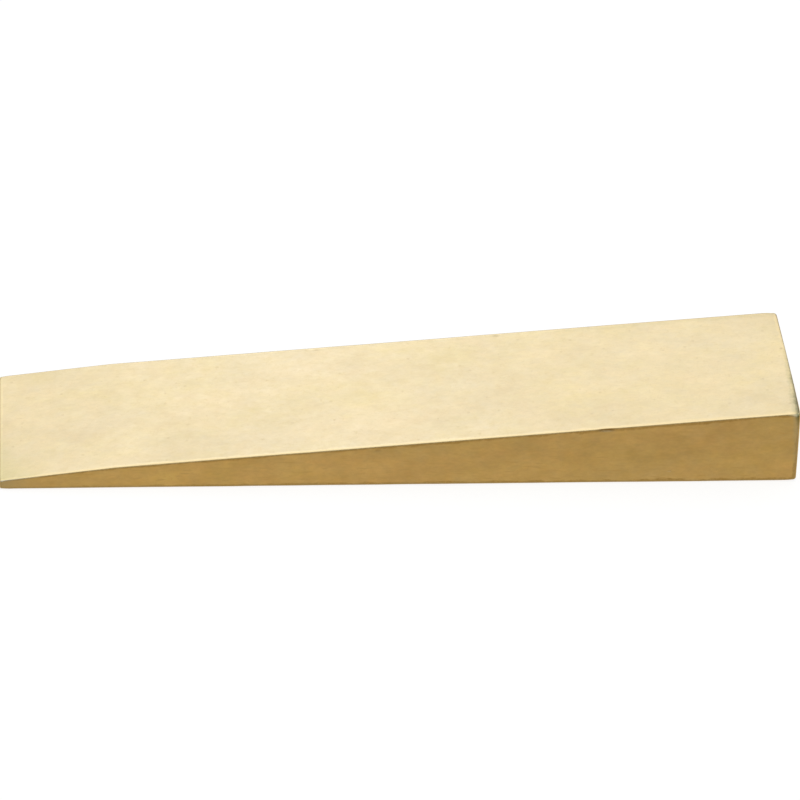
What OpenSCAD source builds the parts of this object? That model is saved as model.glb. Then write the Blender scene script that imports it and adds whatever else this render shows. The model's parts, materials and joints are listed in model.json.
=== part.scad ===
// Felling wedge: one solid metal wedge, driven into the back cut of a tree by blows on its head.
//
// It lies on its flat underside. +X points to the head, +Y to one side and +Z up. The origin is the middle of
// the underside. The upper face rises in two ramps: a short, steeper nose that finds the cut, and a long ramp
// that lifts. Every outer edge is eased by a round.

/* [Body] */
// Length from the tip to the striking face
wedge_length = 200; // [140:5:300]
// Width across the two sides
wedge_width = 50; // [35:1:80]
// Thickness at the striking face
head_thickness = 20; // [15:0.5:35]
// Thickness left standing at the tip
tip_thickness = 2.6; // [2:0.1:4]

/* [Nose] */
// Length of the steeper nose behind the tip
nose_length = 29; // [15:1:50]
// Height of the knee, where the ramps meet, above a straight taper from tip to head
knee_rise = 1.1; // [0.2:0.1:2]

/* [Edges] */
// Round on the upper and lower edge of the tip
tip_edge_r = 0.6; // [0.3:0.1:0.9]
// Round on the upper and lower edge of the striking face
head_edge_r = 0.9; // [0.5:0.1:3]
// Round on the long edges
long_edge_r = 0.4; // [0.3:0.1:0.9]
// Round on the upright corners beside the tip
tip_corner_r = 1.2; // [0.5:0.1:4]
// Round on the upright corners of the head
head_corner_r = 1.5; // [0.5:0.1:4]

/* [Hidden] */
$fn = 96;

tip_x = -wedge_length / 2;
head_x = wedge_length / 2;
side_y = wedge_width / 2;

knee_x = tip_x + nose_length;
straight_taper = (head_thickness - tip_thickness) / wedge_length;
knee_z = tip_thickness + straight_taper * nose_length + knee_rise;
nose_angle = atan((knee_z - tip_thickness) / nose_length);
ramp_angle = atan((head_thickness - knee_z) / (wedge_length - nose_length));

// A rounding circle is this much larger than its round, so that it cuts both faces instead of grazing them
overcut = 1.02;
// Blocks and tools reach past the wedge by this much
spare = 10;

// Outline of the tool that leaves a round of radius r at a corner. The corner is at the origin, one face runs
// from it along +X, and the other lies the corner's angle counter-clockwise from that.
module corner_tool(r, angle) {
    reach = r / tan(angle / 2);
    centre = [reach, r];
    around = [centre, [reach, 0], [0, 0], reach * [cos(angle), sin(angle)]];
    difference() {
        polygon([for (point = around) centre + 2 * (point - centre)]);
        translate(centre)
            circle(r = r * overcut);
    }
}

// Side view of the wedge, rounded at the tip and the head, carried across the width
module side_view_block() {
    rotate([90, 0, 0])
        linear_extrude(height = wedge_width, center = true)
            difference() {
                polygon([
                    [tip_x, 0],
                    [head_x, 0],
                    [head_x, head_thickness],
                    [knee_x, knee_z],
                    [tip_x, tip_thickness]
                ]);
                translate([tip_x, 0])
                    corner_tool(tip_edge_r, 90);
                translate([head_x, 0])
                    rotate(90)
                        corner_tool(head_edge_r, 90);
                translate([head_x, head_thickness])
                    rotate(180 + ramp_angle)
                        corner_tool(head_edge_r, 90 - ramp_angle);
                translate([tip_x, tip_thickness])
                    rotate(270)
                        corner_tool(tip_edge_r, 90 + nose_angle);
            }
}

// Tool for one upright corner, at the tip or at the head
module upright_tool(r) {
    translate([0, 0, -spare])
        linear_extrude(height = head_thickness + 2 * spare)
            corner_tool(r, 90);
}

// Tool for one long edge, lying along X; turn brings it to the corner's open side
module long_tool(turn) {
    rotate([90, 0, 90])
        linear_extrude(height = 3 * wedge_length, center = true)
            rotate(turn)
                corner_tool(long_edge_r, 90);
}

// All tools of the +Y side: two upright corners, the lower edge, and the upper edge along each ramp
module side_tools() {
    translate([tip_x, side_y, 0])
        rotate(270)
            upright_tool(tip_corner_r);
    translate([head_x, side_y, 0])
        rotate(180)
            upright_tool(head_corner_r);
    translate([0, side_y, 0])
        long_tool(90);
    for (angle = [nose_angle, ramp_angle])
        translate([knee_x, side_y, knee_z])
            rotate([0, -angle, 0])
                long_tool(180);
}

module wedge_body() {
    color("burlywood")
        difference() {
            side_view_block();
            side_tools();
            mirror([0, 1, 0])
                side_tools();
        }
}

wedge_body();
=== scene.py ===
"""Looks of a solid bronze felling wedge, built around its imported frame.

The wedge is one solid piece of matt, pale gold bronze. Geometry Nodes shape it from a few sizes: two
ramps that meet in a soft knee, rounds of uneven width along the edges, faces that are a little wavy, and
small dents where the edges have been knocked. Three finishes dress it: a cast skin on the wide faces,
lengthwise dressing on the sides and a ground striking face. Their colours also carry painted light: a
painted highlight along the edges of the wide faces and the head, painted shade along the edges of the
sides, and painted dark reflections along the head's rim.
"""

import json
import logging
import math
from dataclasses import dataclass, field
from enum import Enum
from typing import Union

import bmesh
import bpy
from mathutils import Matrix, Vector


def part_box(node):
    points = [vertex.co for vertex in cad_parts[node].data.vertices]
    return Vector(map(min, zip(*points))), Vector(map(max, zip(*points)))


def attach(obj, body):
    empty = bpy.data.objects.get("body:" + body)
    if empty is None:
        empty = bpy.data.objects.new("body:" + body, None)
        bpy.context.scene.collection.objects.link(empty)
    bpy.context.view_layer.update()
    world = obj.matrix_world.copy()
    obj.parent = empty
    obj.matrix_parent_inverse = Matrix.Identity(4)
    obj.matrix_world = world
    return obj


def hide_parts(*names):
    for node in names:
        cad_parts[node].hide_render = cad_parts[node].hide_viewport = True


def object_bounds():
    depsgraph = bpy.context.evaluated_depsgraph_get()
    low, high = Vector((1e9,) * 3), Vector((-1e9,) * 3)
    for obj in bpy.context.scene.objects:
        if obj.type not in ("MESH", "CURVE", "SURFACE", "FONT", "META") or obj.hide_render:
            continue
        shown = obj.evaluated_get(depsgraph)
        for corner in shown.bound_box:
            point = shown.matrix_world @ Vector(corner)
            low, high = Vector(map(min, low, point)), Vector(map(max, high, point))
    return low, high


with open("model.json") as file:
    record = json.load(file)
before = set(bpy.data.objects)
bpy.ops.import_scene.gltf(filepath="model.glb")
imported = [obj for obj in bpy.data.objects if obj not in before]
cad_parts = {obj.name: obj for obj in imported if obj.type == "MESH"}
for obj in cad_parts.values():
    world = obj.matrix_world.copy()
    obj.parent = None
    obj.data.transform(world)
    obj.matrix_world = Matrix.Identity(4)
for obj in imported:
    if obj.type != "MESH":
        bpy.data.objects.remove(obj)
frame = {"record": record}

CAD_LOW, CAD_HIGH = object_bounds()
MM = 0.001

Triple = tuple[float, float, float]
Socket = bpy.types.NodeSocket
Sockets = dict[str, Socket]
Feed = Union[Socket, float, int, str, tuple, Vector]

log = logging.getLogger("felling_wedge")


class Face(Enum):
    """The kinds of face with a finish of their own; the value names the input for its material."""

    WIDE = "Wide Face Finish"
    SIDE = "Side Finish"
    HEAD = "Head Finish"


class Graph:
    """A node tree with short ways to add nodes and to join them."""

    def __init__(self, tree: bpy.types.NodeTree) -> None:
        """Takes hold of a tree.

        Args:
            tree: The tree to build in.
        """
        self.tree = tree

    def add(self, kind: str, **settings: object) -> bpy.types.Node:
        """Adds a node.

        Args:
            kind: The node's type name.
            **settings: Properties to set on the node.

        Returns:
            The new node.
        """
        node = self.tree.nodes.new(kind)
        for name, value in settings.items():
            setattr(node, name, value)
        return node

    def feed(self, target: Socket, value: Feed) -> None:
        """Joins a socket to a target, or sets the target to a fixed value.

        Args:
            target: The input socket.
            value: The socket or the value that it takes.
        """
        if isinstance(value, Socket):
            self.tree.links.new(value, target)
        else:
            target.default_value = value

    def math(self, operation: str, *values: Feed) -> Socket:
        """Adds a sum on plain numbers.

        Args:
            operation: The sum's name, such as "ADD".
            *values: What it works on.

        Returns:
            The result.
        """
        node = self.add("ShaderNodeMath", operation=operation)
        for socket, value in zip(node.inputs, values):
            self.feed(socket, value)
        return node.outputs[0]

    def vector(self, operation: str, *values: Feed) -> Socket:
        """Adds a sum on vectors.

        Args:
            operation: The sum's name, such as "MULTIPLY".
            *values: What it works on.

        Returns:
            The resulting vector.
        """
        node = self.add("ShaderNodeVectorMath", operation=operation)
        sockets = [node.inputs[0], node.inputs["Scale"]] if operation == "SCALE" else node.inputs
        for socket, value in zip(sockets, values):
            self.feed(socket, value)
        return node.outputs[0]

    def combine(self, x: Feed, y: Feed, z: Feed) -> Socket:
        """Makes a vector of three numbers.

        Args:
            x: The first number.
            y: The second number.
            z: The third number.

        Returns:
            The vector.
        """
        node = self.add("ShaderNodeCombineXYZ")
        for socket, value in zip(node.inputs, (x, y, z)):
            self.feed(socket, value)
        return node.outputs[0]

    def split(self, value: Socket) -> list[Socket]:
        """Takes a vector apart.

        Args:
            value: The vector.

        Returns:
            Its three numbers.
        """
        node = self.add("ShaderNodeSeparateXYZ")
        self.feed(node.inputs[0], value)
        return list(node.outputs)

    def ramp(self, value: Feed, start: Feed, end: Feed, low: Feed = 0.0, high: Feed = 1.0,
             smooth: bool = False) -> Socket:
        """Maps a number from one range to another and holds it at the ends.

        Args:
            value: The number.
            start: Where the range it comes from starts.
            end: Where that range ends.
            low: The result at start.
            high: The result at end.
            smooth: Whether the result eases in and out.

        Returns:
            The mapped number.
        """
        curve = "SMOOTHSTEP" if smooth else "LINEAR"
        node = self.add("ShaderNodeMapRange", interpolation_type=curve, clamp=True)
        names = ("Value", "From Min", "From Max", "To Min", "To Max")
        for name, given in zip(names, (value, start, end, low, high)):
            self.feed(node.inputs[name], given)
        return node.outputs["Result"]

    def blend(self, share: Feed, first: Feed, second: Feed) -> Socket:
        """Mixes two numbers.

        Args:
            share: How much of the second number there is.
            first: The first number.
            second: The second number.

        Returns:
            The mixed number.
        """
        node = self.add("ShaderNodeMix", data_type="FLOAT")
        for index, value in ((0, share), (2, first), (3, second)):
            self.feed(node.inputs[index], value)
        return node.outputs[0]

    def tint(self, share: Feed, first: Feed, second: Feed, mode: str = "MIX") -> Socket:
        """Mixes two colours.

        Args:
            share: How much of the second colour there is.
            first: The first colour.
            second: The second colour.
            mode: How they mix, such as "MIX" or "MULTIPLY".

        Returns:
            The mixed colour.
        """
        node = self.add("ShaderNodeMix", data_type="RGBA", blend_type=mode)
        for index, value in ((0, share), (6, first), (7, second)):
            plain = isinstance(value, tuple) and len(value) == 3
            self.feed(node.inputs[index], (*value, 1.0) if plain else value)
        return node.outputs[2]

    def noise(self, place: Feed, scale: Feed, detail: float = 2.0, roughness: float = 0.5) -> Socket:
        """Adds a cloud of smooth noise from 0 to 1.

        Args:
            place: Where it is read.
            scale: Lumps per metre.
            detail: How many finer layers it has.
            roughness: How strong those layers are.

        Returns:
            The noise's value.
        """
        node = self.add("ShaderNodeTexNoise")
        self.feed(node.inputs["Vector"], place)
        self.feed(node.inputs["Scale"], scale)
        node.inputs["Detail"].default_value = detail
        node.inputs["Roughness"].default_value = roughness
        return node.outputs[0]


def open_tree(name: str, kind: str, takes: dict[str, Feed],
              gives: dict[str, str]) -> tuple[Graph, Sockets, Sockets]:
    """Starts a node group with named inputs and outputs.

    Args:
        name: The group's name.
        kind: "GeometryNodeTree" or "ShaderNodeTree".
        takes: Each input's name, with its default value or, as text, its socket type.
        gives: Each output's name, with its socket type.

    Returns:
        The graph, its input sockets by name, and its output sockets by name.
    """
    tree = bpy.data.node_groups.new(name, kind)
    for title, value in takes.items():
        if isinstance(value, str):
            tree.interface.new_socket(title, in_out="INPUT", socket_type=value)
            continue
        style = {int: "Int", float: "Float"}.get(type(value)) or ("Color" if len(value) == 4 else "Vector")
        socket = tree.interface.new_socket(title, in_out="INPUT", socket_type=f"NodeSocket{style}")
        socket.default_value = value
    for title, style in gives.items():
        tree.interface.new_socket(title, in_out="OUTPUT", socket_type=style)
    graph = Graph(tree)
    source, sink = graph.add("NodeGroupInput"), graph.add("NodeGroupOutput")
    return graph, {s.name: s for s in source.outputs}, {s.name: s for s in sink.inputs}


# ---- Surface effects that the finishes share ----


class Effect(Enum):
    """The shader node groups; the value is the group's name."""

    TONE = "cloudy_tone"
    GRAIN = "cast_grain"
    MARKS = "dressing_marks"
    PITS = "small_pits"
    # edge band: smoother skin, and where the finishes paint a highlight on the wide faces and head and
    # shade on the sides
    RUB = "rubbed_edge"
    # darker bands, mostly painted shade and painted dark reflections along the edges
    STAIN = "dull_stain"


def build_tone() -> None:
    """Soft clouds of tone, from a hand's width down to a grain: in strength, in goldness and in rose."""
    takes = {"Vector": (0.0, 0.0, 0.0), "Drawn Out": 1.0, "Contrast": 0.2, "Body": (0.9, 0.75, 0.46, 1.0),
             "Gold": (0.89, 0.74, 0.41, 1.0), "Rose": (0.9, 0.72, 0.45, 1.0)}
    graph, given, made = open_tree(Effect.TONE.value, "ShaderNodeTree", takes, {"Color": "NodeSocketColor"})
    drawn = graph.combine(graph.math("DIVIDE", 1.0, given["Drawn Out"]), 1.0, 1.0)
    place = graph.vector("MULTIPLY", given["Vector"], drawn)
    clouds = graph.noise(place, scale=26.0, detail=6.0, roughness=0.92)
    golden_at = graph.vector("ADD", place, (0.0, 0.43, 0.21))
    golden = graph.noise(golden_at, scale=40.0, detail=5.0, roughness=0.85)
    rosy_at = graph.vector("ADD", place, (0.31, 0.17, 0.05))
    rosy = graph.noise(rosy_at, scale=75.0, detail=4.0, roughness=0.8)
    colour = graph.tint(graph.ramp(golden, start=0.35, end=0.65), given["Body"], given["Gold"])
    colour = graph.tint(graph.ramp(rosy, start=0.42, end=0.72), colour, given["Rose"])
    strength = graph.math("MULTIPLY_ADD", graph.math("SUBTRACT", clouds, 0.5), given["Contrast"], 1.0)
    graph.feed(made["Color"], graph.vector("SCALE", colour, strength))


def build_grain() -> None:
    """The fine grain of a cast and blasted skin, as a height and as a mask of its hollows."""
    takes = {"Vector": (0.0, 0.0, 0.0), "Grain Size": 0.45 * MM}
    gives = {"Height": "NodeSocketFloat", "Hollows": "NodeSocketFloat"}
    graph, given, made = open_tree(Effect.GRAIN.value, "ShaderNodeTree", takes, gives)
    lumps = graph.math("DIVIDE", 1.0, given["Grain Size"])
    fewer_lumps = graph.math("MULTIPLY", lumps, 0.3)
    fine = graph.noise(given["Vector"], scale=lumps, detail=2.0, roughness=0.6)
    coarse = graph.noise(given["Vector"], scale=fewer_lumps, detail=2.0, roughness=0.5)
    height = graph.blend(0.4, fine, coarse)
    graph.feed(made["Height"], height)
    graph.feed(made["Hollows"], graph.ramp(height, start=0.48, end=0.32))


def build_marks() -> None:
    """Short straight marks left by dressing the metal along one direction."""
    takes = {"Vector": (0.0, 0.0, 0.0), "Marks Along": (60.0, 2600.0, 2600.0)}
    gives = {"Height": "NodeSocketFloat", "Dashes": "NodeSocketFloat"}
    graph, given, made = open_tree(Effect.MARKS.value, "ShaderNodeTree", takes, gives)
    drawn = graph.vector("MULTIPLY", given["Vector"], given["Marks Along"])
    streaks = graph.noise(drawn, scale=1.0, detail=3.0, roughness=0.55)
    cut_short = graph.vector("MULTIPLY", drawn, (3.2, 0.8, 0.8))
    shorter = graph.noise(cut_short, scale=1.0, detail=1.0, roughness=0.5)
    graph.feed(made["Height"], graph.blend(0.45, streaks, shorter))
    graph.feed(made["Dashes"], graph.ramp(shorter, start=0.62, end=0.72))


def build_pits() -> None:
    """Small, scattered pits, as a mask and as a height that dips in them."""
    takes = {"Vector": (0.0, 0.0, 0.0), "Drawn Out": 1.0, "Spacing": 2.6 * MM, "Pit Radius": 0.5 * MM,
             "Share": 0.3}
    gives = {"Pits": "NodeSocketFloat", "Height": "NodeSocketFloat"}
    graph, given, made = open_tree(Effect.PITS.value, "ShaderNodeTree", takes, gives)
    drawn = graph.combine(graph.math("DIVIDE", 1.0, given["Drawn Out"]), 1.0, 1.0)
    place = graph.vector("MULTIPLY", given["Vector"], drawn)
    outline_lumps, outline_shift = 2200.0, 0.35 * MM
    wobble = graph.add("ShaderNodeTexNoise")
    graph.feed(wobble.inputs["Vector"], place)
    wobble.inputs["Scale"].default_value = outline_lumps
    shift = graph.vector("SUBTRACT", wobble.outputs["Color"], (0.5, 0.5, 0.5))
    shift = graph.vector("SCALE", shift, outline_shift)
    cells = graph.add("ShaderNodeTexVoronoi")
    graph.feed(cells.inputs["Vector"], graph.vector("ADD", place, shift))
    graph.feed(cells.inputs["Scale"], graph.math("DIVIDE", 1.0, given["Spacing"]))
    draw = graph.split(cells.outputs["Color"])
    distance = graph.math("MULTIPLY", cells.outputs["Distance"], given["Spacing"])
    spread = graph.ramp(draw[1], start=0.0, end=1.0, low=0.4, high=1.3)
    radius = graph.math("MULTIPLY", given["Pit Radius"], spread)
    bottom = graph.math("MULTIPLY", radius, 0.35)
    pit = graph.ramp(distance, start=radius, end=bottom, smooth=True)
    chosen = graph.math("LESS_THAN", draw[0], given["Share"])
    mask = graph.math("MULTIPLY", pit, chosen)
    graph.feed(made["Pits"], mask)
    graph.feed(made["Height"], graph.math("SUBTRACT", 1.0, mask))


def build_rub_and_painted_light() -> None:
    """The narrow band along every edge, rubbed smooth, with a painted highlight on the wide faces and head
    and painted shade on the sides.
    """
    takes = {"Vector": (0.0, 0.0, 0.0), "Edge Distance": 1.0, "Band": 0.5 * MM, "Fade": 0.6 * MM}
    graph, given, made = open_tree(Effect.RUB.value, "ShaderNodeTree", takes, {"Rub": "NodeSocketFloat"})
    uneven = graph.noise(given["Vector"], scale=260.0, detail=3.0, roughness=0.6)
    spread = graph.ramp(uneven, start=0.3, end=0.7, low=0.35, high=1.5)
    band = graph.math("MULTIPLY", given["Band"], spread)
    outer = graph.math("ADD", band, given["Fade"])
    specks = graph.noise(given["Vector"], scale=1500.0, detail=2.0, roughness=0.6)
    broken = graph.ramp(specks, start=0.3, end=0.55, low=0.55, high=1.0)
    rub_and_painted_light = graph.ramp(given["Edge Distance"], start=outer, end=band, smooth=True)
    graph.feed(made["Rub"], graph.math("MULTIPLY", rub_and_painted_light, broken))


def build_dark_band() -> None:
    """A darker band that grows along one direction and breaks up at its border; most are painted shade and
    painted dark reflections.
    """
    takes = {"Vector": (0.0, 0.0, 0.0), "Along": (1.0, 0.0, 0.0), "Start": 0.09, "End": 0.1}
    gives = {"Stain": "NodeSocketFloat"}
    graph, given, made = open_tree(Effect.STAIN.value, "ShaderNodeTree", takes, gives)
    reach = graph.add("ShaderNodeVectorMath", operation="DOT_PRODUCT")
    graph.feed(reach.inputs[0], given["Vector"])
    graph.feed(reach.inputs[1], given["Along"])
    depth = graph.math("SUBTRACT", given["End"], given["Start"])
    lumps = graph.noise(given["Vector"], scale=420.0, detail=4.0, roughness=0.75)
    uneven = graph.math("SUBTRACT", lumps, 0.5)
    place = graph.math("MULTIPLY_ADD", uneven, depth, reach.outputs["Value"])
    graph.feed(made["Stain"], graph.ramp(place, start=given["Start"], end=given["End"]))


# ---- Finishes ----


@dataclass(frozen=True)
class Stain:
    """A darker band, mostly painted shade and painted dark reflections: the way it grows, where it starts
    and is full, how strong it gets, and its colour.
    """

    along: Triple
    start: float
    end: float
    share: float
    # dark olive: the colour of the painted dark reflections along the head's rim
    colour: Triple = (0.30, 0.31, 0.15)


@dataclass(frozen=True)
class BronzeFinish:
    """Matt pale gold bronze, as one kind of face shows it.

    Colours are what the bare metal reflects straight on, except edge, which is painted light along the
    edges. Lengths and depths are in metres.
    """

    name: str
    body: Triple = (0.915, 0.780, 0.515)
    gold: Triple = (0.910, 0.762, 0.435)
    rose: Triple = (0.923, 0.764, 0.482)
    deep: Triple = (0.820, 0.670, 0.380)
    # painted highlight along the edges; the sides' finish uses a dark colour here, as painted shade
    edge: Triple = (0.985, 0.825, 0.505)
    tarnish: Triple = (0.42, 0.28, 0.12)
    contrast: float = 0.45
    # darker bands over the colour, mostly painted shade and painted dark reflections along the edges
    dark_bands: tuple[Stain, ...] = ()
    drawn_out: float = 1.3
    # how much of the band along the edges takes the painted edge colour
    painted_edge_share: float = 0.8
    band_at_tip: float = 0.5 * MM
    band_at_head: float = 0.5 * MM
    roughness: float = 0.46
    rubbed_roughness: float = 0.30
    grain_size: float = 0.45 * MM
    grain_depth: float = 0.018 * MM
    hollow_tone: float = 0.35
    hollow_roughness: float = 0.06
    roughness_spread: float = 0.05
    marks_along: Triple = (60.0, 2600.0, 2600.0)
    marks_depth: float = 0.006 * MM
    marks_tone: float = 0.25
    pit_share: float = 0.35
    pit_spacing: float = 2.6 * MM
    pit_radius: float = 0.5 * MM
    pit_depth: float = 0.03 * MM
    pit_tone: float = 0.12
    pits_drawn_out: float = 1.0
    pattern_shift: Triple = (0.0, 0.0, 0.0)
    dent_tone: float = 0.35
    edge_attribute: str = "edge_distance"
    dent_attribute: str = "dents"

    def place(self, graph: Graph, effect: Effect, **values: Feed) -> bpy.types.Node:
        """Places one of the shared effects in a material.

        Args:
            graph: The material's graph.
            effect: Which effect it is.
            **values: Its inputs, with an underscore for each space in a name.

        Returns:
            The group node.
        """
        node = graph.add("ShaderNodeGroup", node_tree=bpy.data.node_groups[effect.value])
        for name, value in values.items():
            graph.feed(node.inputs[name.replace("_", " ")], value)
        return node

    def base_colour(self, graph: Graph, where: Feed, shades: Sockets) -> Socket:
        """Lays marks, hollows, the painted edge light, pits, dents and the darker bands, mostly painted
        shade, over the cloudy tone, in that order.

        Args:
            graph: The material's graph.
            where: The place on the wedge.
            shades: The tone's colour and the mask of each thing that goes over it.

        Returns:
            The colour.
        """
        colour = shades["Tone"]
        # the edge band layer paints light: a highlight on the wide faces and head, shade on the sides
        layers = (("Dashes", self.marks_tone, self.deep), ("Hollows", self.hollow_tone, self.deep),
                  ("Rub", self.painted_edge_share, self.edge), ("Pits", self.pit_tone, self.tarnish))
        for name, share, over in layers:
            colour = graph.tint(graph.math("MULTIPLY", shades[name], share), colour, over)
        dented = graph.ramp(shades["Dents"], start=0.05, end=0.6, low=0.0, high=self.dent_tone)
        colour = graph.tint(dented, colour, self.tarnish)
        # darker bands, mostly painted shade and painted dark reflections along the edges
        for darkening in self.dark_bands:
            mask = self.place(graph, Effect.STAIN, Vector=where, Along=darkening.along, Start=darkening.start,
                              End=darkening.end).outputs["Stain"]
            colour = graph.tint(graph.math("MULTIPLY", mask, darkening.share), colour, darkening.colour)
        return colour

    def uneven_roughness(self, graph: Graph, where: Feed, shades: Sockets) -> Socket:
        """Makes the roughness wander, rise in the grain's hollows and fall where the edges are rubbed.

        Args:
            graph: The material's graph.
            where: The place on the wedge.
            shades: The mask of each thing that changes it.

        Returns:
            The roughness.
        """
        clouds = graph.noise(where, scale=320.0, detail=3.0, roughness=0.6)
        spread = self.roughness_spread
        uneven = graph.ramp(clouds, start=0.3, end=0.7, low=-spread, high=spread)
        rough = graph.math("ADD", uneven, self.roughness)
        rougher = graph.math("MULTIPLY", shades["Hollows"], self.hollow_roughness)
        rough = graph.math("ADD", rough, rougher)
        return graph.blend(shades["Rub"], rough, self.rubbed_roughness)

    def relief(self, graph: Graph, heights: tuple[tuple[Feed, float], ...]) -> Socket:
        """Stacks bumps, one on another.

        Args:
            graph: The material's graph.
            heights: Each bump's height map and its depth.

        Returns:
            The normal.
        """
        normal = None
        for height, depth in heights:
            bump = graph.add("ShaderNodeBump")
            graph.feed(bump.inputs["Distance"], depth)
            graph.feed(bump.inputs["Height"], height)
            if normal is not None:
                graph.feed(bump.inputs["Normal"], normal)
            normal = bump.outputs["Normal"]
        return normal

    def material(self) -> bpy.types.Material:
        """Builds the finish.

        Returns:
            The material.
        """
        made = bpy.data.materials.new(self.name)
        made.use_nodes = True
        made.node_tree.nodes.clear()
        graph = Graph(made.node_tree)
        where = graph.add("ShaderNodeTexCoord").outputs["Object"]
        cast_at = graph.vector("ADD", where, self.pattern_shift)
        edge = graph.add("ShaderNodeAttribute", attribute_name=self.edge_attribute).outputs["Fac"]
        dents = graph.add("ShaderNodeAttribute", attribute_name=self.dent_attribute).outputs["Fac"]
        tones = {"Body": self.body, "Gold": self.gold, "Rose": self.rose}
        tones = {name: (*colour, 1.0) for name, colour in tones.items()}
        tone = self.place(graph, Effect.TONE, Vector=cast_at, Drawn_Out=self.drawn_out,
                          Contrast=self.contrast, **tones)
        grain = self.place(graph, Effect.GRAIN, Vector=where, Grain_Size=self.grain_size)
        marks = self.place(graph, Effect.MARKS, Vector=where, Marks_Along=self.marks_along)
        pits = self.place(graph, Effect.PITS, Vector=cast_at, Drawn_Out=self.pits_drawn_out,
                          Share=self.pit_share, Spacing=self.pit_spacing, Pit_Radius=self.pit_radius)
        band = graph.ramp(graph.split(where)[0], start=CAD_LOW.x, end=CAD_HIGH.x,
                          low=self.band_at_tip, high=self.band_at_head)
        # the edge band lowers roughness and carries the painted edge highlight and painted edge shade
        rub_and_painted_light = self.place(graph, Effect.RUB, Vector=where, Edge_Distance=edge, Band=band)
        shades = {"Tone": tone.outputs["Color"], "Dashes": marks.outputs["Dashes"],
                  "Hollows": grain.outputs["Hollows"], "Rub": rub_and_painted_light.outputs["Rub"],
                  "Pits": pits.outputs["Pits"], "Dents": dents}
        normal = self.relief(graph, ((grain.outputs["Height"], self.grain_depth),
                                     (marks.outputs["Height"], self.marks_depth),
                                     (pits.outputs["Height"], self.pit_depth)))
        shader = graph.add("ShaderNodeBsdfPrincipled")
        shader.inputs["Metallic"].default_value = 1.0
        graph.feed(shader.inputs["Base Color"], self.base_colour(graph, where, shades))
        graph.feed(shader.inputs["Roughness"], self.uneven_roughness(graph, where, shades))
        graph.feed(shader.inputs["Normal"], normal)
        graph.feed(graph.add("ShaderNodeOutputMaterial").inputs["Surface"], shader.outputs[0])
        return made


# ---- The wedge ----


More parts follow.
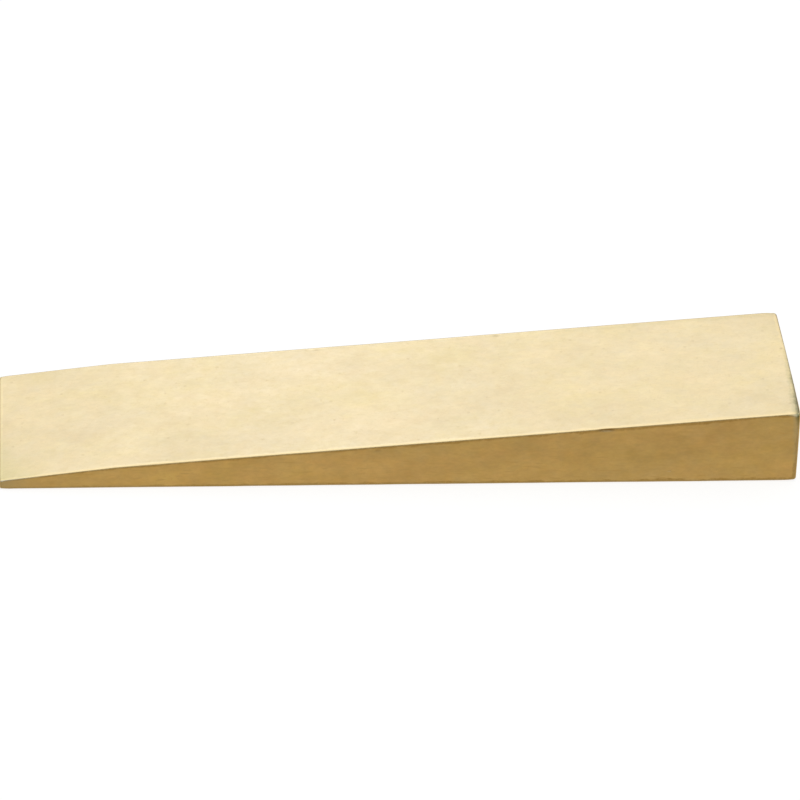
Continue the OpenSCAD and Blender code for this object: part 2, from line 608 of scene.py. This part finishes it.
@dataclass
class WedgeBody:
    """The solid wedge.

    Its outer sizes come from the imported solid. A field that ends in share is a share of its length, and
    other sizes are in metres. Lumps are counted per metre. A reach is where an effect starts and where it
    is full, measured from its edge.
    """

    node: str = "wedge_body"
    piece_name: str = "bronze_wedge"
    slot: str = "bronze"
    tip_share: float = 0.013
    knee_share: float = 0.145
    knee_height_share: float = 0.0311
    knee_softness: float = 0.15 * MM
    long_round: float = 0.38 * MM
    tip_round: float = 0.32 * MM
    head_round: float = 0.5 * MM
    corner_round: float = 0.25 * MM
    near_wear: float = 0.65 * MM
    far_wear: float = 0.25 * MM
    round_unevenness: float = 0.35
    round_lumps: float = 70.0
    end_reach: tuple[float, float] = (4.0 * MM, 1.0 * MM)
    upright_reach: tuple[float, float] = (2.5 * MM, 0.4 * MM)
    widest_round: float = 0.42
    waviness: float = 0.07 * MM
    wave_lumps: float = 28.0
    dent_depth: float = 0.22 * MM
    dent_spacing: float = 6.5 * MM
    dent_radii: tuple[float, float] = (0.8 * MM, 2.0 * MM)
    dent_reach: tuple[float, float] = (2.2 * MM, 0.8 * MM)
    dented_cells: float = 0.4
    nick_along_share: float = 0.756
    nick_drop: float = 0.4 * MM
    nick_size: Triple = (2.6 * MM, 0.8 * MM, 0.6 * MM)
    edge_band: float = 1.8 * MM
    widest_band: float = 0.8
    edge_steps: int = 7
    steps: tuple[int, int, int] = (304, 82, 30)
    seed: int = 0
    seed_step: Triple = (1.37, 0.71, 2.13)
    finishes: dict[Face, BronzeFinish] = field(default_factory=dict)

    def sizes(self) -> dict[str, Feed]:
        """Works out the modifier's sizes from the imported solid.

        Returns:
            Each input's name and value.
        """
        low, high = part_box(self.node)
        length = high.x - low.x
        worked_out = {
            "Length": length,
            "Width": high.y - low.y,
            "Head Thickness": self.head_thickness(),
            "Tip Thickness": self.tip_share * length,
            "Knee From Tip": self.knee_share * length,
            "Knee Height": self.knee_height_share * length,
            "Nick Place": self.nick_place(),
        }
        fields = ("knee_softness", "long_round", "tip_round", "head_round", "corner_round", "near_wear",
                  "far_wear", "round_unevenness", "waviness", "dent_depth", "nick_size", "edge_band",
                  "edge_steps", "seed")
        as_given = {name.replace("_", " ").title(): getattr(self, name) for name in fields}
        steps = {f"Steps {axis}": count for axis, count in zip("XYZ", self.steps)}
        return worked_out | as_given | steps

    def head_thickness(self) -> float:
        """Gives the thickness at the head, from the middle of the striking face."""
        return 2 * next(m["pos_m"][2] for m in frame["record"]["mounts"] if m["name"] == "striking_face")

    def nick_place(self) -> Triple:
        """Works out the middle of the one long nick, just under the upper edge of the near side.

        Returns:
            The place.
        """
        low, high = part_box(self.node)
        length = high.x - low.x
        knee = self.knee_height_share * length
        up_ramp = (self.nick_along_share - self.knee_share) / (1 - self.knee_share)
        edge = knee + up_ramp * (self.head_thickness() - knee)
        return (low.x + self.nick_along_share * length, low.y, edge - self.nick_drop)

    def seeded(self, graph: Graph, given: Sockets, place: Feed) -> Socket:
        """Shifts the place where a random pattern is read, by the seed.

        Args:
            graph: The graph to build in.
            given: The group's inputs.
            place: The place before the shift.

        Returns:
            The shifted place.
        """
        return graph.vector("ADD", place, graph.vector("SCALE", self.seed_step, given["Seed"]))

    def crowd(self, graph: Graph, given: Sockets, place: Feed, steps: Feed, half: Feed) -> Socket:
        """Gives a grid line's distance from the nearer end, with lines crowded together near the ends.

        Args:
            graph: The graph to build in.
            given: The group's inputs.
            place: The line's place on the plain block, from -0.5 to 0.5.
            steps: How many steps the block has this way.
            half: Half the wedge's size this way.

        Returns:
            The distance in metres.
        """
        count = graph.math("MULTIPLY", graph.math("SUBTRACT", 0.5, graph.math("ABSOLUTE", place)), steps)
        widest = graph.math("MULTIPLY", half, self.widest_band)
        band = graph.math("MINIMUM", given["Edge Band"], widest)
        near = graph.ramp(count, start=0.0, end=given["Edge Steps"], low=0.0, high=band)
        middle = graph.math("MULTIPLY", steps, 0.5)
        rest = graph.math("SUBTRACT", half, band)
        far = graph.ramp(count, start=given["Edge Steps"], end=middle, low=0.0, high=rest)
        return graph.math("ADD", near, far)

    def thickness(self, graph: Graph, given: Sockets, x: Feed) -> Socket:
        """Gives the thickness at a place along the wedge: the lower of the two ramps, with a soft knee.

        Args:
            graph: The graph to build in.
            given: The group's inputs.
            x: The place along the wedge.

        Returns:
            The thickness.
        """
        tip = graph.math("MULTIPLY", given["Length"], -0.5)
        from_knee = graph.math("SUBTRACT", x, graph.math("ADD", tip, given["Knee From Tip"]))
        nose_rise = graph.math("SUBTRACT", given["Knee Height"], given["Tip Thickness"])
        nose_slope = graph.math("DIVIDE", nose_rise, given["Knee From Tip"])
        ramp_rise = graph.math("SUBTRACT", given["Head Thickness"], given["Knee Height"])
        ramp_length = graph.math("SUBTRACT", given["Length"], given["Knee From Tip"])
        ramp_slope = graph.math("DIVIDE", ramp_rise, ramp_length)
        nose = graph.math("MULTIPLY_ADD", from_knee, nose_slope, given["Knee Height"])
        ramp = graph.math("MULTIPLY_ADD", from_knee, ramp_slope, given["Knee Height"])
        return graph.math("SMOOTH_MIN", nose, ramp, given["Knee Softness"])

    def edge_round(self, graph: Graph, given: Sockets, place: Feed, up: Feed, tall: Feed,
                   from_upright: Feed) -> Socket:
        """Gives the round's radius: uneven, different at the two ends, and larger at the worn corners.

        Args:
            graph: The graph to build in.
            given: The group's inputs.
            place: The point on the sharp wedge.
            up: The place up the plain block, from -0.5 to 0.5.
            tall: The thickness there.
            from_upright: The distance from the nearest upright corner.

        Returns:
            The radius.
        """
        x, y, _ = graph.split(place)
        half = graph.math("MULTIPLY", given["Length"], 0.5)
        start, end = (graph.math("SUBTRACT", half, reach) for reach in self.end_reach)
        at_head = graph.ramp(x, start, end, smooth=True)
        at_tip = graph.ramp(graph.math("MULTIPLY", x, -1.0), start, end, smooth=True)
        radius = graph.blend(at_head, given["Long Round"], given["Head Round"])
        radius = graph.blend(at_tip, radius, given["Tip Round"])
        to_side = graph.math("DIVIDE", y, graph.math("MULTIPLY", given["Width"], 0.5))
        near = graph.ramp(to_side, start=-0.1, end=-1.0, low=0.0, high=given["Near Wear"], smooth=True)
        far = graph.ramp(to_side, start=0.1, end=1.0, low=0.0, high=given["Far Wear"], smooth=True)
        wear = graph.math("MULTIPLY", at_head, graph.math("ADD", near, far))
        wear = graph.math("MULTIPLY", wear, graph.ramp(up, start=-0.2, end=0.5, smooth=True))
        upright = graph.ramp(from_upright, *self.upright_reach, low=0.0, high=given["Corner Round"],
                             smooth=True)
        radius = graph.math("ADD", graph.math("ADD", radius, wear), upright)
        lumps = graph.noise(self.seeded(graph, given, place), scale=self.round_lumps)
        spread = graph.math("MULTIPLY", given["Round Unevenness"], 2.0)
        change = graph.math("MULTIPLY_ADD", graph.math("SUBTRACT", lumps, 0.5), spread, 1.0)
        radius = graph.math("MULTIPLY", radius, change)
        return graph.math("MINIMUM", radius, graph.math("MULTIPLY", tall, self.widest_round))

    def dents(self, graph: Graph, given: Sockets, place: Feed, edge: Feed) -> Socket:
        """Gives how deep the small dents and the nick are at a point, as shares of the full depth.

        Args:
            graph: The graph to build in.
            given: The group's inputs.
            place: The point on the sharp wedge.
            edge: Its distance from the nearest edge.

        Returns:
            The share, from 0 to 1.
        """
        cells = graph.add("ShaderNodeTexVoronoi")
        graph.feed(cells.inputs["Vector"], self.seeded(graph, given, place))
        cells.inputs["Scale"].default_value = 1 / self.dent_spacing
        draw = graph.split(cells.outputs["Color"])
        distance = graph.math("MULTIPLY", cells.outputs["Distance"], self.dent_spacing)
        radius = graph.ramp(draw[1], 0.0, 1.0, *self.dent_radii)
        bowl = graph.ramp(distance, start=radius, end=0.0, smooth=True)
        chosen = graph.math("LESS_THAN", draw[0], self.dented_cells)
        by_edge = graph.ramp(edge, *self.dent_reach, smooth=True)
        share = graph.math("MULTIPLY", graph.math("MULTIPLY", bowl, chosen), by_edge)
        off = graph.vector("SUBTRACT", place, given["Nick Place"])
        off = graph.vector("DIVIDE", off, given["Nick Size"])
        reach = graph.add("ShaderNodeVectorMath", operation="LENGTH")
        graph.feed(reach.inputs[0], off)
        nick = graph.ramp(reach.outputs["Value"], start=1.0, end=0.3, smooth=True)
        return graph.math("MAXIMUM", share, nick)

    def lay_lines(self, graph: Graph, given: Sockets, start: Feed) -> Sockets:
        """Spreads the plain block's grid lines over the sharp wedge, crowded together near the edges.

        Args:
            graph: The graph to build in.
            given: The group's inputs.
            start: The place on the plain block.

        Returns:
            By name, for the sharp wedge: the place, the distances from the nearest edge, from the nearer
            end each way and from the nearest upright corner, half the size each way, the middle height,
            the place up the block, and the thickness.
        """
        px, py, pz = graph.split(start)
        half_x = graph.math("MULTIPLY", given["Length"], 0.5)
        half_y = graph.math("MULTIPLY", given["Width"], 0.5)
        from_x = self.crowd(graph, given, px, given["Steps X"], half_x)
        from_y = self.crowd(graph, given, py, given["Steps Y"], half_y)
        x = graph.math("MULTIPLY", graph.math("SUBTRACT", half_x, from_x), graph.math("SIGN", px))
        y = graph.math("MULTIPLY", graph.math("SUBTRACT", half_y, from_y), graph.math("SIGN", py))
        tall = self.thickness(graph, given, x)
        half_z = graph.math("MULTIPLY", tall, 0.5)
        from_z = self.crowd(graph, given, pz, given["Steps Z"], half_z)
        z = graph.math("MULTIPLY", graph.math("SUBTRACT", half_z, from_z), graph.math("SIGN", pz))
        nearest = graph.math("MINIMUM", graph.math("MINIMUM", from_x, from_y), from_z)
        farthest = graph.math("MAXIMUM", graph.math("MAXIMUM", from_x, from_y), from_z)
        total = graph.math("ADD", graph.math("ADD", from_x, from_y), from_z)
        return {
            "Sharp": graph.combine(x, y, graph.math("ADD", z, half_z)),
            "Edge": graph.math("SUBTRACT", graph.math("SUBTRACT", total, nearest), farthest),
            "From Ends": graph.combine(from_x, from_y, from_z),
            "Half": graph.combine(half_x, half_y, half_z),
            "Middle": graph.combine(0.0, 0.0, half_z),
            "Up": pz,
            "Tall": tall,
            "From Upright": graph.math("MAXIMUM", from_x, from_y),
        }

    def round_edges(self, graph: Graph, given: Sockets, start: Feed,
                    lines: Sockets) -> tuple[Socket, Socket]:
        """Rounds the edges of the sharp wedge.

        Args:
            graph: The graph to build in.
            given: The group's inputs.
            start: The place on the plain block.
            lines: What lay_lines gives.

        Returns:
            The place on the rounded wedge, and the way out of the metal there.
        """
        radius = self.edge_round(graph, given, lines["Sharp"], lines["Up"], lines["Tall"],
                                 lines["From Upright"])
        sides = graph.vector("SIGN", start)
        rounds = graph.combine(radius, radius, radius)
        held = graph.vector("MAXIMUM", lines["From Ends"], rounds)
        core = graph.vector("SUBTRACT", lines["Half"], held)
        spring = graph.vector("SUBTRACT", rounds, lines["From Ends"])
        spring = graph.vector("MAXIMUM", spring, (0.0, 0.0, 0.0))
        outward = graph.vector("NORMALIZE", graph.vector("MULTIPLY", sides, spring))
        swept = graph.vector("SCALE", outward, radius)
        rounded = graph.vector("ADD", graph.vector("MULTIPLY", sides, core), swept)
        return graph.vector("ADD", rounded, lines["Middle"]), outward

    def dress(self, graph: Graph, given: Sockets, geometry: Socket, facing: Socket) -> Socket:
        """Gives each kind of face its finish.

        Args:
            graph: The graph to build in.
            given: The group's inputs.
            geometry: The shaped wedge.
            facing: The way each face looked on the plain block.

        Returns:
            The dressed wedge.
        """
        facing_x, facing_y, _ = graph.split(facing)
        selections = {
            Face.WIDE: True,
            Face.SIDE: graph.math("GREATER_THAN", graph.math("ABSOLUTE", facing_y), 0.5),
            Face.HEAD: graph.math("GREATER_THAN", facing_x, 0.5),
        }
        for face, selection in selections.items():
            dressed = graph.add("GeometryNodeSetMaterial")
            graph.feed(dressed.inputs["Geometry"], geometry)
            graph.feed(dressed.inputs["Selection"], selection)
            graph.feed(dressed.inputs["Material"], given[face.value])
            geometry = dressed.outputs["Geometry"]
        return geometry

    def tree(self) -> bpy.types.GeometryNodeTree:
        """Builds the node tree that shapes the wedge from a plain block of grid lines.

        Returns:
            The tree.
        """
        takes = self.sizes() | {face.value: "NodeSocketMaterial" for face in Face}
        graph, given, made = open_tree("shape_wedge", "GeometryNodeTree", takes,
                                       {"Geometry": "NodeSocketGeometry"})
        block = graph.add("GeometryNodeMeshCube")
        block.inputs["Size"].default_value = (1.0, 1.0, 1.0)
        for axis in "XYZ":
            graph.feed(block.inputs[f"Vertices {axis}"], graph.math("ADD", given[f"Steps {axis}"], 1.0))

        start = graph.add("GeometryNodeInputPosition").outputs[0]
        lines = self.lay_lines(graph, given, start)
        rounded, outward = self.round_edges(graph, given, start, lines)
        waves_at = self.seeded(graph, given, lines["Sharp"])
        waves = graph.noise(waves_at, scale=self.wave_lumps, detail=2.0, roughness=0.45)
        dents = self.dents(graph, given, lines["Sharp"], lines["Edge"])
        sink = graph.math("MULTIPLY", graph.ramp(waves, start=0.25, end=0.75), given["Waviness"])
        sink = graph.math("MULTIPLY_ADD", dents, given["Dent Depth"], sink)
        place = graph.vector("SUBTRACT", rounded, graph.vector("SCALE", outward, sink))

        facing = graph.add("GeometryNodeCaptureAttribute", domain="FACE")
        facing.capture_items.new("VECTOR", "Facing")
        graph.feed(facing.inputs["Geometry"], block.outputs["Mesh"])
        graph.feed(facing.inputs["Facing"], graph.add("GeometryNodeInputNormal").outputs[0])
        geometry = facing.outputs["Geometry"]
        kept_values = ((BronzeFinish.edge_attribute, lines["Edge"]), (BronzeFinish.dent_attribute, dents))
        for name, value in kept_values:
            kept = graph.add("GeometryNodeStoreNamedAttribute", data_type="FLOAT", domain="POINT")
            graph.feed(kept.inputs["Geometry"], geometry)
            kept.inputs["Name"].default_value = name
            graph.feed(kept.inputs["Value"], value)
            geometry = kept.outputs["Geometry"]
        moved = graph.add("GeometryNodeSetPosition")
        graph.feed(moved.inputs["Geometry"], geometry)
        graph.feed(moved.inputs["Position"], place)
        smooth = graph.add("GeometryNodeSetShadeSmooth")
        graph.feed(smooth.inputs["Geometry"], moved.outputs["Geometry"])
        real = graph.add("GeometryNodeRealizeInstances")
        graph.feed(real.inputs["Geometry"], smooth.outputs["Geometry"])
        dressed = self.dress(graph, given, real.outputs["Geometry"], facing.outputs["Facing"])
        graph.feed(made["Geometry"], dressed)
        return graph.tree

    def build(self) -> bpy.types.Object:
        """Builds, dresses and places the wedge.

        Returns:
            The finished piece.
        """
        carrier = bpy.data.objects.new("wedge_carrier", bpy.data.meshes.new("wedge_carrier"))
        bpy.context.scene.collection.objects.link(carrier)
        modifier = carrier.modifiers.new("shape", "NODES")
        modifier.node_group = self.tree()
        values = self.sizes() | {face.value: self.finishes[face].material() for face in Face}
        for socket in modifier.node_group.interface.items_tree:
            if socket.in_out == "INPUT":
                modifier[socket.identifier] = values[socket.name]
        shapes = bpy.context.evaluated_depsgraph_get()
        mesh = bpy.data.meshes.new_from_object(carrier.evaluated_get(shapes), depsgraph=shapes)
        mesh.name = self.piece_name
        carrier.modifiers.remove(modifier)
        bpy.data.objects.remove(carrier)
        piece = bpy.data.objects.new(self.piece_name, mesh)
        bpy.context.scene.collection.objects.link(piece)
        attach(piece, "root")
        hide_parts(self.node)
        return piece


# ---- The stage ----


@dataclass
class Studio:
    """A plain pale floor, soft light from above and behind, a warm table below, and the camera.

    Sizes are in metres, angles in degrees and the lens in millimetres. A field that ends in share is a
    share of the wedge's length. Bands are heights, from -1 straight down to 1 straight up, with the
    light's colour there.
    """

    floor_half: float = 4.0
    floor_gap: float = 0.05 * MM
    floor_tone: float = 0.93
    floor_glow: float = 0.72
    glow_strength: float = 1.09
    pale: Triple = (1.0, 1.0, 1.0)
    bands: tuple[tuple[float, Triple], ...] = (
        (-1.0, (0.51, 0.365, 0.155)),
        (-0.28, (0.49, 0.34, 0.13)),
        (-0.14, (0.20, 0.17, 0.11)),
        (0.08, (0.24, 0.23, 0.18)),
        (0.28, (0.89, 0.89, 0.89)),
        (0.52, (0.93, 0.93, 0.925)),
        (1.0, (1.06, 1.06, 1.06)),
    )
    softbox_size: float = 0.2
    softbox_glow: float = 0.42
    softbox_tint: Triple = (0.55, 0.65, 1.0)
    softbox_at: Triple = (-0.04, 0.38, 0.245)
    yaw: float = 4.68
    tilt: float = 31.48
    roll: float = 1.89
    distance_share: float = 6.761
    aim_along_share: float = 0.0132
    aim_across_share: float = 0.0783
    lens: float = 236.82
    clip: tuple[float, float] = (0.05, 50.0)

    def build_floor(self) -> bpy.types.Object:
        """Lays the floor just under the wedge.

        Returns:
            The floor.
        """
        mesh = bpy.data.meshes.new("floor")
        shape = bmesh.new()
        bmesh.ops.create_grid(shape, x_segments=2, y_segments=2, size=self.floor_half)
        bmesh.ops.translate(shape, verts=shape.verts, vec=(0.0, 0.0, CAD_LOW.z - self.floor_gap))
        shape.to_mesh(mesh)
        shape.free()
        floor = bpy.data.objects.new("floor", mesh)
        bpy.context.scene.collection.objects.link(floor)
        floor.visible_glossy = False
        made = bpy.data.materials.new("pale_floor")
        made.use_nodes = True
        made.node_tree.nodes.clear()
        graph = Graph(made.node_tree)
        plain = graph.add("ShaderNodeBsdfDiffuse")
        plain.inputs["Color"].default_value = (self.floor_tone,) * 3 + (1.0,)
        glow = graph.add("ShaderNodeEmission")
        glow.inputs["Strength"].default_value = self.glow_strength
        lit = graph.add("ShaderNodeMixShader")
        lit.inputs[0].default_value = self.floor_glow
        graph.feed(lit.inputs[1], plain.outputs[0])
        graph.feed(lit.inputs[2], glow.outputs[0])
        seen = graph.add("ShaderNodeMixShader")
        graph.feed(seen.inputs[0], graph.add("ShaderNodeNewGeometry").outputs["Backfacing"])
        graph.feed(seen.inputs[1], lit.outputs[0])
        graph.feed(seen.inputs[2], graph.add("ShaderNodeBsdfTransparent").outputs[0])
        graph.feed(graph.add("ShaderNodeOutputMaterial").inputs["Surface"], seen.outputs[0])
        mesh.materials.append(made)
        return floor

    def build_light(self) -> None:
        """Sets the soft light all round: bright above, dim at the horizon, and a warm table below."""
        world = bpy.data.worlds.new("studio")
        world.use_nodes = True
        world.node_tree.nodes.clear()
        graph = Graph(world.node_tree)
        height = graph.split(graph.add("ShaderNodeTexCoord").outputs["Generated"])[2]
        around = self.bands[0][1]
        for (low, _), (high, colour) in zip(self.bands, self.bands[1:]):
            around = graph.tint(graph.ramp(height, low, high), around, colour)
        camera_sees = graph.add("ShaderNodeLightPath").outputs["Is Camera Ray"]
        seen = graph.tint(camera_sees, around, self.pale)
        sky = graph.add("ShaderNodeBackground")
        graph.feed(sky.inputs["Color"], seen)
        graph.feed(graph.add("ShaderNodeOutputWorld").inputs["Surface"], sky.outputs[0])
        bpy.context.scene.world = world

    def build_softbox(self) -> bpy.types.Object:
        """Hangs a soft light behind and above, which brightens the middle of the upper face a little.

        Returns:
            The light.
        """
        lamp = bpy.data.lights.new("softbox", "AREA")
        lamp.shape = "SQUARE"
        lamp.size = self.softbox_size
        lamp.color = self.softbox_tint
        lamp.energy = self.softbox_glow * math.pi * self.softbox_size ** 2
        softbox = bpy.data.objects.new("softbox", lamp)
        place = Vector(self.softbox_at)
        softbox.location = place
        softbox.rotation_euler = place.to_track_quat("Z", "Y").to_euler()
        softbox.visible_camera = False
        bpy.context.scene.collection.objects.link(softbox)
        return softbox

    def build_camera(self) -> bpy.types.Object:
        """Sets the camera and its view.

        Returns:
            The camera.
        """
        length = CAD_HIGH.x - CAD_LOW.x
        middle = (CAD_LOW + CAD_HIGH) / 2
        aim = Vector((middle.x, middle.y, 0.0))
        aim += Vector((self.aim_along_share, self.aim_across_share, 0.0)) * length
        yaw, tilt, roll = (math.radians(angle) for angle in (self.yaw, self.tilt, self.roll))
        ahead = Vector((math.sin(yaw), math.cos(yaw), 0.0))
        forward = ahead * math.cos(tilt) - Vector((0.0, 0.0, math.sin(tilt)))
        level = Vector((math.cos(yaw), -math.sin(yaw), 0.0))
        upright = level.cross(forward)
        right = level * math.cos(roll) + upright * math.sin(roll)
        up = upright * math.cos(roll) - level * math.sin(roll)
        camera = bpy.data.objects.new("camera", bpy.data.cameras.new("camera"))
        camera.data.lens = self.lens
        camera.data.clip_start, camera.data.clip_end = self.clip
        turn = Matrix((right, up, -forward)).transposed().to_4x4()
        camera.matrix_world = Matrix.Translation(aim - forward * self.distance_share * length) @ turn
        bpy.context.scene.collection.objects.link(camera)
        bpy.context.scene.camera = camera
        return camera

    def build(self) -> None:
        """Builds the floor, the light and the camera, and shows colours as they are."""
        self.build_floor()
        self.build_light()
        self.build_softbox()
        self.build_camera()
        bpy.context.scene.view_settings.view_transform = "Standard"


def make_finishes() -> dict[Face, BronzeFinish]:
    """Gives each kind of face its finish, with the darker bands that lie on it, most of them painted shade
    and painted dark reflections.

    Returns:
        The finish of each kind of face.
    """
    # grey-green of the painted dark reflection at the head's upright edge and of the painted shade along
    # the foot
    painted_shade_grey = (0.66, 0.68, 0.64)
    # painted dark reflection along the head's rim on the wide faces
    painted_rim_reflection = Stain((1.0, -0.05, 0.0), 98.7 * MM, 101.2 * MM, 0.75)
    # a thinner, darker painted reflection line right at that rim
    painted_rim_reflection_line = Stain((1.0, -0.05, 0.0), 99.6 * MM, 100.9 * MM, 0.95, (0.13, 0.13, 0.08))
    # darker towards the far edge of the wide faces
    far_edge = Stain((0.006, 1.0, 0.0), 23.0 * MM, 25.8 * MM, 0.2)
    # darker and more olive towards the near corner of the tip
    tip_corner = Stain((-1.0, -0.5, 0.0), 100.0 * MM, 112.0 * MM, 0.4, (0.66, 0.62, 0.28))
    # painted dark reflection along the head's upright edge on the sides
    painted_upright_reflection = Stain((1.0, 0.0, 0.06), 98.9 * MM, 100.9 * MM, 0.85, painted_shade_grey)
    # painted shade along the foot of the sides
    painted_foot_shade = Stain((0.0, 0.0, -1.0), -0.8 * MM, 0.1 * MM, 0.75, painted_shade_grey)
    # greyer and darker towards the tip on the sides
    side_tip = Stain((-1.0, 0.0, 0.0), 89.0 * MM, 99.5 * MM, 0.75, (0.70, 0.67, 0.55))
    # painted dark reflection at the head's upper corner on the sides
    painted_head_corner_reflection = Stain((1.0, 0.0, 0.3), 103.9 * MM, 104.9 * MM, 0.9)
    # the wide faces' edge colour is a painted highlight along the edges
    wide = BronzeFinish(
        "cast_bronze", edge=(1.0, 0.81, 0.455), band_at_head=0.85 * MM,
        dark_bands=(painted_rim_reflection, painted_rim_reflection_line, far_edge, tip_corner), pattern_shift=(1.4, 0.8, 0.6))
    # the sides' edge colour is painted shade along the edges
    side = BronzeFinish(
        "dressed_bronze", body=(0.895, 0.765, 0.490), gold=(0.895, 0.750, 0.405),
        rose=(0.925, 0.735, 0.440), edge=(0.58, 0.45, 0.23), contrast=0.9,
        dark_bands=(painted_upright_reflection, painted_foot_shade, side_tip, painted_head_corner_reflection), drawn_out=1.8,
        band_at_tip=0.3 * MM, band_at_head=0.75 * MM, rubbed_roughness=0.4, grain_depth=0.012 * MM,
        marks_depth=0.012 * MM, marks_tone=0.8, dent_tone=0.85, pit_share=0.3, pit_spacing=4.0 * MM,
        pit_radius=0.3 * MM, pit_depth=0.05 * MM, pit_tone=0.4, pits_drawn_out=3.5,
        pattern_shift=(0.2, 0.13, 0.0))
    # the head keeps the default edge colour, a painted highlight
    head = BronzeFinish(
        "ground_bronze", contrast=0.6, drawn_out=0.6, band_at_tip=1.1 * MM, band_at_head=1.1 * MM,
        roughness=0.4, grain_depth=0.008 * MM, marks_along=(2600.0, 90.0, 2600.0),
        marks_depth=0.015 * MM, marks_tone=0.5, pit_share=0.6, pit_spacing=6.0 * MM,
        pit_radius=2.0 * MM, pit_depth=0.12 * MM, pit_tone=0.08)
    return {Face.WIDE: wide, Face.SIDE: side, Face.HEAD: head}


def main() -> None:
    """Builds the shared effects, the wedge and the studio."""
    logging.basicConfig(level=logging.INFO, format="%(name)s: %(message)s")
    for build in (build_tone, build_grain, build_marks, build_pits, build_rub_and_painted_light, build_dark_band):
        build()
    wedge = WedgeBody(finishes=make_finishes()).build()
    triangles = sum(len(polygon.vertices) - 2 for polygon in wedge.data.polygons)
    log.info("%s: %d triangles", wedge.name, triangles)
    Studio().build()
    log.info("studio: floor, soft light and camera in place")


if __name__ == "__main__":
    main()
